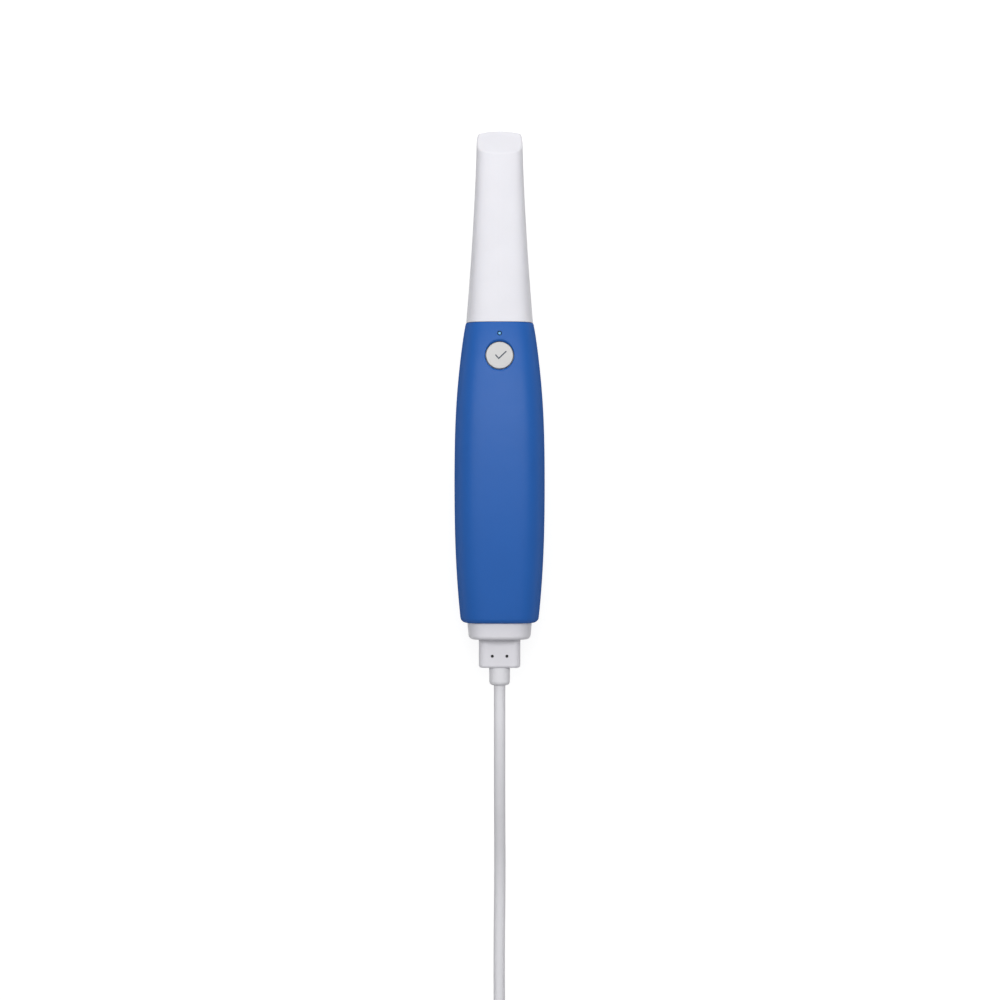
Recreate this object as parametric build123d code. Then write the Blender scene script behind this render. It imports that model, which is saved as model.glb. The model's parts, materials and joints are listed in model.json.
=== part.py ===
"""Intraoral scanner: a dental wand with a pull-off mirror tip, one scan button and a plug-in cable.

Frame, in millimetres: +Y runs along the wand to its tip, +Z up to the button side, +X to the right.
The wand lies on the flat of its belly at Z = 0, and the origin is below the middle of its length.
Heights named "over the axis" are counted from the long axis of the wand.
"""

import os
from math import acos, sqrt, tan

from build123d import *

# Wand, overall
wand_length = 248.0
body_width = 44.0
body_height = 47.4
body_rise = 22.0
rest_flat_depth = 0.7

# Case
body_length = 145.4
body_front_width = 33.0
body_front_height = 33.8
body_rear_width = 37.6
body_rear_rise = 18.0
body_rear_drop = 19.4
belly_from_joint = 77.0
barrel_power = 2.5
body_fullness = 0.76
body_stations = 9
case_wall = 2.2
case_rear_round = 2.6
case_front_round = 0.5
seam_width = 0.3
seam_depth = 0.5

# Tip
tip_gap = 0.15
tip_base_width = 32.6
tip_base_height = 33.2
tip_end_width = 22.2
tip_end_height = 15.9
tip_end_sink = 1.0
tip_flare_power = 1.5
tip_fullness = 0.80
tip_stations = 7
tip_wall = 1.4
tip_crown_radius = 40.0
tip_slope_length = 12.2
tip_edge_round = 1.3
scan_window_width = 14.6
scan_window_length = 15.0
scan_window_round = 2.5
scan_window_setback = 2.6
mirror_width = 12.8
mirror_length = 12.0
mirror_thickness = 1.1
mirror_from_top = 9.0

# Nose
nose_share = 0.4315
nose_clearance = 0.35
nose_wall = 1.6
nose_stations = 4
nose_spigot_depth = 3.3
nose_spigot_clearance = 0.1
nose_web = 2.5
nose_window_rim = 0.8
nose_window_ledge = 1.5
nose_window_thickness = 1.5
nose_ring_setback = 5.0
nose_ring_width = 1.8
nose_ring_depth = 0.8
nose_ring_proud = 0.2
heater_width = 1.2
heater_thickness = 0.25

# Optics on the chassis
projector_share = 0.105
projector_radius = 4.2
projector_front_radius = 5.2
projector_front_length = 15.0
camera_spread = 5.2
camera_height = -4.0
camera_radius = 2.7
camera_front_radius = 3.3
camera_front_length = 11.0
barrel_bore_wall = 0.8
bore_clearance = 0.05
web_hole_clearance = 0.4
block_length = 8.0
block_width = 22.0
block_share = 0.24
chassis_width = 21.6
plate_top = -7.4
plate_thickness = 2.0
engine_gap = 10.0
engine_length = 30.0
engine_width = 18.0
engine_top = 9.5
lamp_board_thickness = 1.2
sink_base = 3.0
sink_length = 27.0
sink_fin_count = 7
sink_fin_thickness = 1.2
camera_board_gap = 6.8
camera_board_thickness = 1.2
camera_board_width = 19.0
camera_board_top = -0.9
sensor_size = 5.6
sensor_thickness = 1.0
ribbon_width = 8.0
ribbon_thickness = 0.25

# Main board under the chassis plate
main_board_width = 18.0
main_board_end_gap = 10.0
main_board_thickness = 1.6
standoff_height = 2.8
standoff_radius = 2.0
standoff_inset = 6.0
standoff_spread = 6.8
processor_size = 13.0
processor_thickness = 1.4
processor_place = 0.33
thermal_pad_thickness = 0.8
memory_width = 7.5
memory_length = 10.0
memory_thickness = 1.0
memory_place = 0.58
ribbon_overlap = 7.0
rib_thickness = 5.0
front_rib_setback = 14.1
rear_rib_inset = 19.6
rib_screw_spread = 8.8

# Scan button, in the frame of the case surface at the button
button_from_joint = 16.2
button_radius = 6.5
button_edge_round = 0.45
button_dome_radius = 60.0
button_depth = 4.2
button_flange_radius = 7.9
button_flange_thickness = 0.8
button_hole_radius = 6.95
button_dish = 0.95
plunger_radius = 1.5
plunger_length = 1.8
switch_size = 4.6
switch_height = 1.6
switch_bore_clearance = 0.05
pad_outer_radius = 5.0
pad_inner_radius = 3.7
switch_board_width = 17.0
switch_board_back = -11.0
switch_board_front = 12.2
switch_board_depth = 6.9
switch_board_thickness = 0.8
switch_post_radius = 1.9
switch_post_spread = 6.5
switch_post_reach = 9.0
status_light_reach = 10.7
light_pipe_radius = 0.75
light_hole_radius = 1.15
light_pipe_sink = 0.25
light_pipe_flange_radius = 1.9

# End cap and cable socket
end_cap_length = 8.05
end_cap_width = 31.4
end_cap_height = 30.8
end_cap_draft = 0.7
end_cap_round = 2.0
end_cap_wall = 2.5
spigot_width = 26.0
spigot_height = 25.6
spigot_length = 6.1
spigot_wall = 2.0
spigot_clearance = 0.1
cap_ring_width = 1.0
cap_ring_depth = 0.6
cap_screw_height = 9.5
cap_post_radius = 2.5
lug_rear = 22.0
lug_thickness = 4.0
lug_width = 15.0
lug_height = 12.5
socket_width = 14.0
socket_height = 7.2
socket_depth = 16.0
socket_wall = 0.6
socket_back = 1.5
socket_clearance = 0.1
tongue_width = 9.2
tongue_thickness = 1.4
tongue_length = 11.0
socket_board_width = 18.0
socket_board_height = 12.0
socket_board_thickness = 1.2

# Cable
plug_gap = 0.1
plug_width = 20.2
plug_height = 12.4
plug_length = 13.85
plug_round = 3.6
plug_end_round = 1.3
plug_shell_width = 12.4
plug_shell_height = 5.6
plug_shell_length = 11.0
plug_shell_wall = 0.5
plug_screw_spread = 3.55
plug_screw_station = 8.1
plug_screw_radius = 0.65
relief_radius = 5.05
relief_length = 8.7
relief_round = 2.0
cord_diameter = 5.6
lead_straight = 26.0
lead_falling = 60.0
lead_landing = 96.0
lead_turning = 138.0
lead_into_hank = 12.0
hank_gap = 164.0
hank_run = 112.0
hank_fold_radius = 25.2
hank_layers = 3
hank_waist_fillet = 14.0
tie_width = 14.0
tie_thickness = 1.2
tail_free = 3.4
usb_width = 11.6
usb_length = 20.0
usb_shell_width = 8.3
usb_shell_height = 2.5
usb_shell_length = 6.6
usb_relief_length = 7.0

# Screws: shank radius, head radius, head height
SMALL_SCREW = (0.75, 1.4, 1.0)
LARGE_SCREW = (1.0, 1.8, 1.2)

# Stations along the wand and heights that follow from the sizes
axis_z = body_height - body_rise
body_drop = body_height + rest_flat_depth - body_rise
tip_end = wand_length / 2
cap_rear = -wand_length / 2
case_rear = cap_rear + end_cap_length
joint = case_rear + body_length
belly = joint - belly_from_joint
tip_length = tip_end - joint
nose_front = joint + nose_share * tip_length
projector_height = projector_share * body_front_height
block_top = block_share * body_front_height
block_front = joint - nose_spigot_depth
block_rear = block_front - block_length
plate_bottom = plate_top - plate_thickness
engine_front = block_rear - engine_gap
engine_rear = engine_front - engine_length
sink_front = engine_rear - lamp_board_thickness
camera_board_front = block_rear - camera_board_gap
camera_rear = camera_board_front + sensor_thickness + 0.8
front_rib = block_front - front_rib_setback
rear_rib = case_rear + rear_rib_inset
main_board_front = front_rib - main_board_end_gap
main_board_rear = rear_rib + rib_thickness + main_board_end_gap
main_board_length = main_board_front - main_board_rear
main_board_top = plate_bottom - standoff_height
processor_station = main_board_front - processor_place * main_board_length
memory_station = main_board_front - memory_place * main_board_length
lug_back = cap_rear + lug_rear
plug_face = cap_rear - plug_gap
relief_face = plug_face - plug_length
cord_exit = relief_face - relief_length
cord_radius = cord_diameter / 2
hank_side = cord_radius - hank_fold_radius
far = 2 * wand_length
parts = {}


def barrel(y, middle, front, rear):
    """Half-size of the case at station y: largest at the belly, less by a power law to both ends."""
    if y >= belly:
        return middle - (middle - front) * ((y - belly) / (joint - belly)) ** barrel_power
    return middle - (middle - rear) * ((belly - y) / (belly - case_rear)) ** barrel_power


def body_sizes(y, inset=0.0):
    """Half-width, rise and drop of the case at station y, less an inset."""
    half_width = barrel(y, body_width / 2, body_front_width / 2, body_rear_width / 2)
    rise = barrel(y, body_rise, body_front_height / 2, body_rear_rise)
    drop = barrel(y, body_drop, body_front_height / 2, body_rear_drop)
    return half_width - inset, rise - inset, drop - inset


def tip_sizes(y, inset=0.0):
    """Half-width, rise and drop of the tip at station y, less an inset."""
    flare = max((tip_end - y) / tip_length, 0.0) ** tip_flare_power
    half_width = tip_end_width / 2 + (tip_base_width - tip_end_width) / 2 * flare
    half_height = tip_end_height / 2 + (tip_base_height - tip_end_height) / 2 * flare
    sink = tip_end_sink * (1 - flare)
    return half_width - inset, half_height - sink - inset, half_height + sink - inset


def oval(y, sizes, fullness):
    """Closed outline across the wand at station y, from four quarter curves."""
    half_width, rise, drop = sizes
    wide = fullness * half_width
    right = (half_width, y, axis_z)
    top = (0, y, axis_z + rise)
    left = (-half_width, y, axis_z)
    bottom = (0, y, axis_z - drop)
    up = axis_z + fullness * rise
    down = axis_z - fullness * drop
    quarters = [
        Bezier(right, (half_width, y, up), (wide, y, axis_z + rise), top),
        Bezier(top, (-wide, y, axis_z + rise), (-half_width, y, up), left),
        Bezier(left, (-half_width, y, down), (-wide, y, axis_z - drop), bottom),
        Bezier(bottom, (wide, y, axis_z - drop), (half_width, y, down), right),
    ]
    return Wire(quarters)


def skin(sizes_at, y0, y1, inset, fullness, count):
    """Smooth solid through ovals at evenly spaced stations from y0 to y1."""
    stations = [y0 + (y1 - y0) * i / (count - 1) for i in range(count)]
    return Solid.make_loft([oval(y, sizes_at(y, inset), fullness) for y in stations])


def prism(y0, y1, sizes, fullness=body_fullness):
    """Straight solid of one oval from station y0 to y1."""
    return Solid.extrude(Face(oval(y0, sizes, fullness)), Vector(0, y1 - y0, 0))


def block(width, y0, y1, w0, w1, x=0.0):
    """Box across the wand between two stations and two heights over the axis."""
    middle = Pos(x, (y0 + y1) / 2, axis_z + (w0 + w1) / 2)
    return middle * Box(width, abs(y1 - y0), abs(w1 - w0))


def rod(radius, y0, y1, x=0.0, w=0.0):
    """Cylinder along the wand."""
    return Pos(x, (y0 + y1) / 2, axis_z + w) * Rot(90, 0, 0) * Cylinder(radius, abs(y1 - y0))


def post(radius, w0, w1, x, y):
    """Upright cylinder between two heights over the axis."""
    return Pos(x, y, axis_z + (w0 + w1) / 2) * Cylinder(radius, abs(w1 - w0))


def across(y, w=0.0):
    """Sketch plane across the wand that faces the rear, upright in Z."""
    return Plane(origin=(0, y, axis_z + w), x_dir=(1, 0, 0), z_dir=(0, -1, 0))


def slope_plane(depth):
    """Plane of the tip's slanted end, moved into the tip by a depth."""
    y = tip_end - tip_slope_length
    top = axis_z + tip_sizes(y)[1]
    step = depth / sqrt(2)
    return Plane(origin=(0, y - step, top - step), x_dir=(1, 0, 0), z_dir=(0, 1, 1))


def beyond_slope(depth):
    """Solid that takes off all that lies above the slanted end."""
    return slope_plane(depth) * Pos(0, 0, far / 2) * Box(far, far, far)


def button_frame():
    """Plane on the case surface at the button, with its normal as Z and +Y to the tip."""
    y = joint - button_from_joint
    slope = body_sizes(y + 0.5)[1] - body_sizes(y - 0.5)[1]
    return Plane(origin=(0, y, axis_z + body_sizes(y)[1]), x_dir=(1, 0, 0), z_dir=(0, -slope, 1))


button = button_frame()


def disc(radius, n0, n1, u=0.0, v=0.0):
    """Cylinder square to the button between two depths."""
    return button * Pos(u, v, (n0 + n1) / 2) * Cylinder(radius, abs(n1 - n0))


def slab(width, v0, v1, n0, n1):
    """Box square to the button between two depths."""
    return button * Pos(0, (v0 + v1) / 2, (n0 + n1) / 2) * Box(width, v1 - v0, abs(n1 - n0))


def switch_posts(radius, n0, n1):
    """Four posts, holes or screws at the corners of the switch board."""
    sides = (-1, 1)
    places = [(i * switch_post_spread, j * switch_post_reach) for i in sides for j in sides]
    return [disc(radius, n0, n1, u, v) for u, v in places]


# Case: two half shells that part along the sides
board_n = -switch_board_depth
outer = skin(body_sizes, joint, case_rear, 0.0, body_fullness, body_stations)
rear_rim = outer.edges().filter_by(lambda e: abs(e.center().Y - case_rear) < 0.01)
outer = outer.fillet(case_rear_round, rear_rim)
front_rim = outer.edges().filter_by(lambda e: abs(e.center().Y - joint) < 0.01)
outer = outer.fillet(case_front_round, front_rim)
hollow = skin(body_sizes, joint + 1.0, case_rear + case_wall, case_wall, body_fullness, body_stations)
half_wall = skin(body_sizes, joint, case_rear + case_wall / 2, case_wall / 2, body_fullness, body_stations)
seam_core = skin(body_sizes, joint + 1.0, case_rear - 1.0, seam_depth, body_fullness, body_stations)
seam = block(far, joint + 0.5, case_rear - 0.5, -seam_width / 2, seam_width / 2) - seam_core
spigot_sizes = (spigot_width / 2, spigot_height / 2, spigot_height / 2)
spigot_hole = prism(case_rear - 1, case_rear + case_wall + 1, [s + spigot_clearance for s in spigot_sizes])
shell = outer - hollow - spigot_hole - seam

upper = shell & block(far, far, -far, 0, far)
upper = upper + switch_posts(switch_post_radius, board_n, -1.5)
upper = upper - switch_posts(SMALL_SCREW[0] + 0.05, board_n, -3.0)
upper = upper - disc(button_hole_radius, -8, 4)
dish_wide = button_hole_radius + button_dish
dish = button * Pos(0, 0, 0.1 - button_dish / 2) * Cone(button_hole_radius, dish_wide, button_dish)
upper = upper - dish
parts["upper_case"] = upper - disc(light_hole_radius, -5, 2, 0, status_light_reach)

lower = shell & block(far, far, -far, -axis_z, 0)
for station in (front_rib, rear_rib):
    rib = half_wall & block(far, station, station + rib_thickness, case_wall / 2 - axis_z, plate_bottom)
    lower = lower + rib
    middle = station + rib_thickness / 2
    for x in (-rib_screw_spread, rib_screw_spread):
        lower = lower - post(LARGE_SCREW[0] + 0.05, plate_bottom - 6, plate_bottom + 1, x, middle)
parts["lower_case"] = lower

# Tip: a hollow taper with a slanted end, a mirror inside and a window on the underside
tip_base = joint + tip_gap
tip_solid = skin(tip_sizes, tip_base, tip_end, 0.0, tip_fullness, tip_stations)
crown = Pos(0, tip_end - tip_crown_radius, axis_z) * Cylinder(tip_crown_radius, far)
tip_solid = tip_solid - (block(far, tip_end - tip_slope_length, far, -far, far) - crown)
tip_solid = tip_solid - beyond_slope(0.0)
end_edges = tip_solid.edges().filter_by(lambda e: e.center().Y > tip_end - 1.25 * tip_slope_length)
end_edges = end_edges.filter_by(lambda e: e.bounding_box().size.Y < 1.5 * tip_slope_length)
tip_solid = fillet(end_edges, tip_edge_round)
tip_hollow = skin(tip_sizes, joint - 1.0, tip_end - tip_wall, tip_wall, tip_fullness, tip_stations)
tip_hollow = tip_hollow - beyond_slope(tip_wall)
scan_middle = tip_end - scan_window_setback - scan_window_length / 2
scan_plane = Plane.XY.offset(axis_z - tip_end_height)
scan_outline = RectangleRounded(scan_window_width, scan_window_length, scan_window_round)
scan_hole = extrude(scan_plane * Pos(0, scan_middle) * scan_outline, 0.75 * tip_end_height)
parts["tip_shell"] = tip_solid - tip_hollow - scan_hole

mirror_seat = slope_plane(tip_wall)
mirror = Box(mirror_width, mirror_length, mirror_thickness)
parts["tip_mirror"] = mirror_seat * Pos(0, mirror_from_top, -mirror_thickness / 2) * mirror

# Nose: the snout under the tip
nose_inset = tip_wall + nose_clearance
snout = skin(tip_sizes, joint, nose_front, nose_inset, tip_fullness, nose_stations)
spigot_inset = case_wall + nose_spigot_clearance
nose = snout + skin(body_sizes, block_front, joint, spigot_inset, body_fullness, 3)
web_front = block_front + nose_web
ledge_rear = nose_front - nose_window_thickness - 1.0
nose = nose - skin(tip_sizes, web_front, ledge_rear, nose_inset + nose_wall, tip_fullness, nose_stations)
window_sizes = tip_sizes(nose_front, nose_inset + nose_window_rim)
window_rear = nose_front - nose_window_thickness
nose = nose - prism(window_rear, nose_front + 1, window_sizes, tip_fullness)
ledge_sizes = tip_sizes(nose_front, nose_inset + nose_window_rim + nose_window_ledge)
nose = nose - prism(ledge_rear - 1, nose_front, ledge_sizes, tip_fullness)
barrel_seats = [(0, projector_height, projector_front_radius)]
barrel_seats = barrel_seats + [(s * camera_spread, camera_height, camera_front_radius) for s in (-1, 1)]
for x, w, radius in barrel_seats:
    nose = nose - rod(radius + web_hole_clearance, block_front - 1, web_front + 1, x, w)
ring_rear = joint + nose_ring_setback
ring_front = ring_rear + nose_ring_width
ring_core = prism(ring_rear, ring_front, tip_sizes(ring_front, nose_inset + nose_ring_depth), tip_fullness)
ring_outside = prism(ring_rear, ring_front, tip_sizes(ring_front, nose_inset - 4), tip_fullness)
nose = nose - (ring_outside - ring_core)
nose_screw_places = [(-8.6, 5.0), (8.6, 5.0), (-8.0, -8.8), (8.0, -8.8)]
for x, w in nose_screw_places:
    nose = nose - rod(SMALL_SCREW[0] + 0.1, block_front - 1, web_front + 1, x, w)
parts["nose"] = nose
ring_sizes = tip_sizes(ring_front, nose_inset - nose_ring_proud)
parts["nose_ring"] = prism(ring_rear, ring_front, ring_sizes, tip_fullness) - ring_core
parts["nose_window"] = prism(window_rear, nose_front, [s - 0.05 for s in window_sizes], tip_fullness)
heater_rear = window_rear - heater_thickness
heater_sizes = [s - 0.1 for s in ledge_sizes]
heater_hole = prism(heater_rear, window_rear, [s - heater_width for s in heater_sizes], tip_fullness)
parts["window_heater"] = prism(heater_rear, window_rear, heater_sizes, tip_fullness) - heater_hole

# Chassis: a milled block and plate that carries the optics, with a lug for the end cap
chassis = block(block_width, block_rear, block_front, plate_bottom, block_top)
chassis = chassis + block(chassis_width, lug_back, block_rear, plate_bottom, plate_top)
chassis = chassis + block(lug_width, lug_back, lug_back + lug_thickness, -lug_height, lug_height)
heat_boss = processor_size + 2
boss_bottom = main_board_top + processor_thickness + thermal_pad_thickness
boss_y = (processor_station - heat_boss / 2, processor_station + heat_boss / 2)
chassis = chassis + block(heat_boss, boss_y[0], boss_y[1], boss_bottom, plate_bottom)
standoffs = [main_board_front - standoff_inset, main_board_rear + standoff_inset]
for y in standoffs:
    for x in (-standoff_spread, standoff_spread):
        chassis = chassis + post(standoff_radius, main_board_top, plate_bottom, x, y)
        chassis = chassis - post(SMALL_SCREW[0] + 0.05, main_board_top, plate_bottom, x, y)
for x, w, radius in barrel_seats:
    small = projector_radius if x == 0 else camera_radius
    chassis = chassis - rod(small + bore_clearance, block_rear, block_front, x, w)
for x, w in nose_screw_places:
    chassis = chassis - rod(SMALL_SCREW[0] + 0.05, block_front - 5, block_front, x, w)
for station in (front_rib, rear_rib):
    middle = station + rib_thickness / 2
    for x in (-rib_screw_spread, rib_screw_spread):
        chassis = chassis - post(LARGE_SCREW[0] + 0.2, plate_bottom, plate_top, x, middle)
for w in (-cap_screw_height, cap_screw_height):
    chassis = chassis - rod(LARGE_SCREW[0] + 0.05, lug_back, lug_back + lug_thickness, 0, w)
ribbon_y = camera_board_front - camera_board_thickness - ribbon_thickness / 2
chassis = chassis - block(ribbon_width + 1, ribbon_y - 0.8, ribbon_y + 0.8, plate_bottom, plate_top)
parts["optical_chassis"] = chassis

# Optics
projector_sizes = (projector_radius, projector_front_radius, projector_front_length, engine_front)
camera_sizes = (camera_radius, camera_front_radius, camera_front_length, camera_rear)
for name, x, w, sizes in (
    ("projector", 0, projector_height, projector_sizes),
    ("camera_left", -camera_spread, camera_height, camera_sizes),
    ("camera_right", camera_spread, camera_height, camera_sizes),
):
    small, large, front_length, rear = sizes
    front = block_front + front_length
    tube = rod(small, rear, block_front, x, w) + rod(large, block_front, front, x, w)
    tube = tube - rod(small - barrel_bore_wall, rear, front, x, w)
    glass_radius = large - barrel_bore_wall
    glass_rear = front - 3.0
    parts[name + "_barrel"] = tube - rod(glass_radius, glass_rear, front, x, w)
    ball = Pos(x, front - 0.4 - 3 * large, axis_z + w) * Sphere(3 * large)
    parts[name + "_lens"] = rod(glass_radius - 0.02, glass_rear, front, x, w) & ball
engine = block(engine_width, engine_rear, engine_front, plate_top, engine_top)
vertical = engine.edges().filter_by(Axis.Z)
parts["light_engine"] = fillet(vertical, 1.5)
parts["lamp_board"] = block(engine_width, sink_front, engine_rear, plate_top, engine_top)
sink = block(engine_width, sink_front - sink_base, sink_front, plate_top, engine_top)
fin_pitch = (engine_width - sink_fin_thickness) / (sink_fin_count - 1)
for i in range(sink_fin_count):
    x = -engine_width / 2 + sink_fin_thickness / 2 + i * fin_pitch
    fin = (sink_front - sink_length, sink_front - sink_base, plate_top, engine_top)
    sink = sink + block(sink_fin_thickness, *fin, x)
parts["heat_sink"] = sink
camera_board_rear = camera_board_front - camera_board_thickness
camera_board_span = (camera_board_rear, camera_board_front, plate_top, camera_board_top)
parts["camera_board"] = block(camera_board_width, *camera_board_span)
sensor_front = camera_board_front + sensor_thickness
half_sensor = sensor_size / 2
sensor_span = (camera_board_front, sensor_front, camera_height - half_sensor, camera_height + half_sensor)
sensors = [block(sensor_size, *sensor_span, s * camera_spread) for s in (-1, 1)]
parts["image_sensors"] = Compound(children=sensors)

# Main board and its chips
board_bottom = main_board_top - main_board_thickness
main_board = block(main_board_width, main_board_rear, main_board_front, board_bottom, main_board_top)
for y in standoffs:
    for x in (-standoff_spread, standoff_spread):
        main_board = main_board - post(SMALL_SCREW[0] + 0.1, board_bottom, main_board_top, x, y)
parts["main_board"] = main_board
chip_top = main_board_top + processor_thickness
half_chip = processor_size / 2
chip_y = (processor_station - half_chip, processor_station + half_chip)
parts["processor"] = block(processor_size, chip_y[0], chip_y[1], main_board_top, chip_top)
parts["thermal_pad"] = block(processor_size, chip_y[0], chip_y[1], chip_top, chip_top + thermal_pad_thickness)
memory_y = (memory_station - memory_length / 2, memory_station + memory_length / 2)
memory_top = main_board_top + memory_thickness
memory_x = memory_width / 2 + 1
chips = [block(memory_width, *memory_y, main_board_top, memory_top, s * memory_x) for s in (-1, 1)]
parts["memory_chips"] = Compound(children=chips)
ribbon_end = main_board_top + ribbon_thickness / 2
ribbon_line = FilletPolyline(
    (ribbon_y, camera_board_top - 0.6),
    (ribbon_y, ribbon_end),
    (main_board_front - ribbon_overlap, ribbon_end),
    radius=1.2,
)
ribbon_face = Plane.YZ * Pos(0, axis_z) * trace(ribbon_line, ribbon_thickness)
parts["camera_ribbon"] = extrude(ribbon_face, ribbon_width / 2, both=True)

# Scan button and the switch under it
rim_and_half = (button_radius, button_radius / 2)
dome_drop = [button_dome_radius - sqrt(button_dome_radius**2 - r**2) for r in rim_and_half]
flange_n = button_flange_thickness - button_depth
cap_line = Polyline(
    (0, 0),
    (0, -button_depth),
    (button_flange_radius, -button_depth),
    (button_flange_radius, flange_n),
    (button_radius, flange_n),
    (button_radius, -dome_drop[0]),
)
cap_dome = ThreePointArc((button_radius, -dome_drop[0]), (button_radius / 2, -dome_drop[1]), (0, 0))
cap_face = make_face(cap_line.edges() + cap_dome.edges())
cap_corner = cap_face.vertices().sort_by_distance((button_radius, -dome_drop[0]))[0]
cap_face = fillet(cap_corner, button_edge_round)
parts["button_cap"] = button * revolve(Plane.XZ * cap_face, Axis.Z)
parts["switch_plunger"] = disc(plunger_radius, -button_depth - plunger_length, -button_depth)
pad = disc(pad_outer_radius, board_n, -button_depth) - disc(pad_inner_radius, board_n, -button_depth)
parts["return_pad"] = pad
switch = slab(switch_size, -switch_size / 2, switch_size / 2, board_n, board_n + switch_height)
switch = switch - disc(plunger_radius + switch_bore_clearance, board_n + 0.15, board_n + switch_height)
parts["switch_body"] = switch
board_back = board_n - switch_board_thickness
switch_board = slab(switch_board_width, switch_board_back, switch_board_front, board_back, board_n)
parts["switch_board"] = switch_board - switch_posts(SMALL_SCREW[0] + 0.1, board_back, board_n)
light_top = board_n + 0.6
light = button * Pos(0, status_light_reach, board_n + 0.3) * Box(1.6, 0.9, 0.6)
parts["status_light"] = light
pipe = disc(light_pipe_radius, light_top + 0.05, -light_pipe_sink, 0, status_light_reach)
flange_top = -case_wall - 0.45
pipe_flange = disc(light_pipe_flange_radius, flange_top - 0.8, flange_top, 0, status_light_reach)
parts["light_pipe"] = pipe + pipe_flange

# End cap with the cable socket
cap_front_sizes = (end_cap_width / 2, end_cap_height / 2, end_cap_height / 2)
cap_rear_sizes = [s - end_cap_draft for s in cap_front_sizes]
cap_ovals = [oval(case_rear, cap_front_sizes, body_fullness), oval(cap_rear, cap_rear_sizes, body_fullness)]
end_cap = Solid.make_loft(cap_ovals)
cap_rim = end_cap.edges().filter_by(lambda e: abs(e.center().Y - cap_rear) < 0.01)
end_cap = end_cap.fillet(end_cap_round, cap_rim)
spigot_front = case_rear + spigot_length
end_cap = end_cap + prism(case_rear - 0.5, spigot_front, spigot_sizes)
cap_floor = cap_rear + end_cap_wall
end_cap = end_cap - prism(cap_floor, spigot_front + 1, [s - spigot_wall for s in spigot_sizes])
for w in (-cap_screw_height, cap_screw_height):
    end_cap = end_cap + rod(cap_post_radius, cap_floor - 0.5, lug_back, 0, w)
    end_cap = end_cap - rod(LARGE_SCREW[0] + 0.2, cap_rear, lug_back, 0, w)
    end_cap = end_cap - rod(LARGE_SCREW[1] + 0.2, cap_rear, cap_rear + 1.6, 0, w)
half_hole = socket_height / 2 + socket_clearance
hole_width = socket_width + 2 * socket_clearance
end_cap = end_cap - block(hole_width, cap_rear - 1, cap_floor + 1, -half_hole, half_hole)
cap_ring_y = (case_rear + 0.6, case_rear + 0.6 + cap_ring_width)
cap_ring_core = prism(cap_ring_y[0], cap_ring_y[1], [s - cap_ring_depth for s in spigot_sizes])
cap_ring_space = prism(cap_ring_y[0], cap_ring_y[1], [s + 1 for s in spigot_sizes]) - cap_ring_core
parts["end_cap"] = end_cap - cap_ring_space
cap_ring_sizes = [s + spigot_clearance / 2 for s in spigot_sizes]
parts["end_cap_ring"] = prism(*cap_ring_y, cap_ring_sizes) - cap_ring_core
socket_front = cap_rear + socket_depth
socket = block(socket_width, cap_rear, socket_front, -socket_height / 2, socket_height / 2)
socket_inside = socket_height / 2 - socket_wall
tongue_front = socket_front - socket_back
socket = socket - block(socket_width - 2 * socket_wall, cap_rear, tongue_front, -socket_inside, socket_inside)
parts["cable_socket"] = socket
half_tongue = tongue_thickness / 2
tongue_rear = tongue_front - tongue_length
parts["socket_tongue"] = block(tongue_width, tongue_rear, tongue_front, -half_tongue, half_tongue)
socket_board_front = socket_front + socket_board_thickness
half_board = socket_board_height / 2
parts["socket_board"] = block(socket_board_width, socket_front, socket_board_front, -half_board, half_board)

# Plug, strain relief and cord
housing = across(plug_face) * RectangleRounded(plug_width, plug_height, plug_round)
housing = extrude(housing, plug_length)
housing_rim = housing.edges().filter_by(lambda e: abs(e.center().Y - relief_face) < 0.01)
housing = fillet(housing_rim, plug_end_round)
plug_screw_y = plug_face - plug_screw_station
plug_top = plug_height / 2
plug_screws = []
for x in (-plug_screw_spread, plug_screw_spread):
    housing = housing - post(plug_screw_radius + 0.1, plug_top - 4.0, plug_top + 1, x, plug_screw_y)
    plug_screws.append(post(plug_screw_radius, plug_top - 4.0, plug_top - 0.35, x, plug_screw_y))
parts["plug_housing"] = housing
parts["plug_screws"] = Compound(children=plug_screws)
shell_front = plug_face + plug_shell_length
half_shell = plug_shell_height / 2
plug_shell = block(plug_shell_width, plug_face, shell_front, -half_shell, half_shell)
half_shell = half_shell - plug_shell_wall
shell_inside = plug_shell_width - 2 * plug_shell_wall
parts["plug_shell"] = plug_shell - block(shell_inside, plug_face, shell_front, -half_shell, half_shell)
relief = rod(relief_radius, cord_exit, relief_face)
relief_rim = relief.edges().filter_by(lambda e: abs(e.center().Y - cord_exit) < 0.01)
parts["strain_relief"] = fillet(relief_rim, relief_round)

hank_near = cord_exit - hank_gap
lobe_near = hank_near - hank_fold_radius
lobe_far = hank_near - hank_run + hank_fold_radius
waist = (lobe_near + lobe_far) / 2
lead_route = [
    (0.0, cord_exit, axis_z),
    (0.0, cord_exit - lead_straight, axis_z),
    (0.0, cord_exit - lead_falling, axis_z * 0.62),
    (0.2, cord_exit - lead_landing, cord_radius),
    (-0.3, cord_exit - lead_turning, cord_radius),
    (0.0, hank_near - lead_into_hank, cord_radius),
]


def tube(route):
    """Cord along a route: straight runs joined by tangent arcs, in one sweep."""
    radii = []
    for before, here, after in zip(route, route[1:], route[2:]):
        run_in = Vector(*here) - Vector(*before)
        run_out = Vector(*after) - Vector(*here)
        half_turn = acos(min(1.0, run_in.dot(run_out) / (run_in.length * run_out.length))) / 2
        radii.append(0.45 * min(run_in.length, run_out.length) / tan(half_turn))
    print("cord radii", [round(r) for r in radii])
    path = FilletPolyline(*route, radius=radii)
    start = Plane(origin=route[0], z_dir=path % 0)
    return sweep(start * Circle(cord_radius), path)


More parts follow.
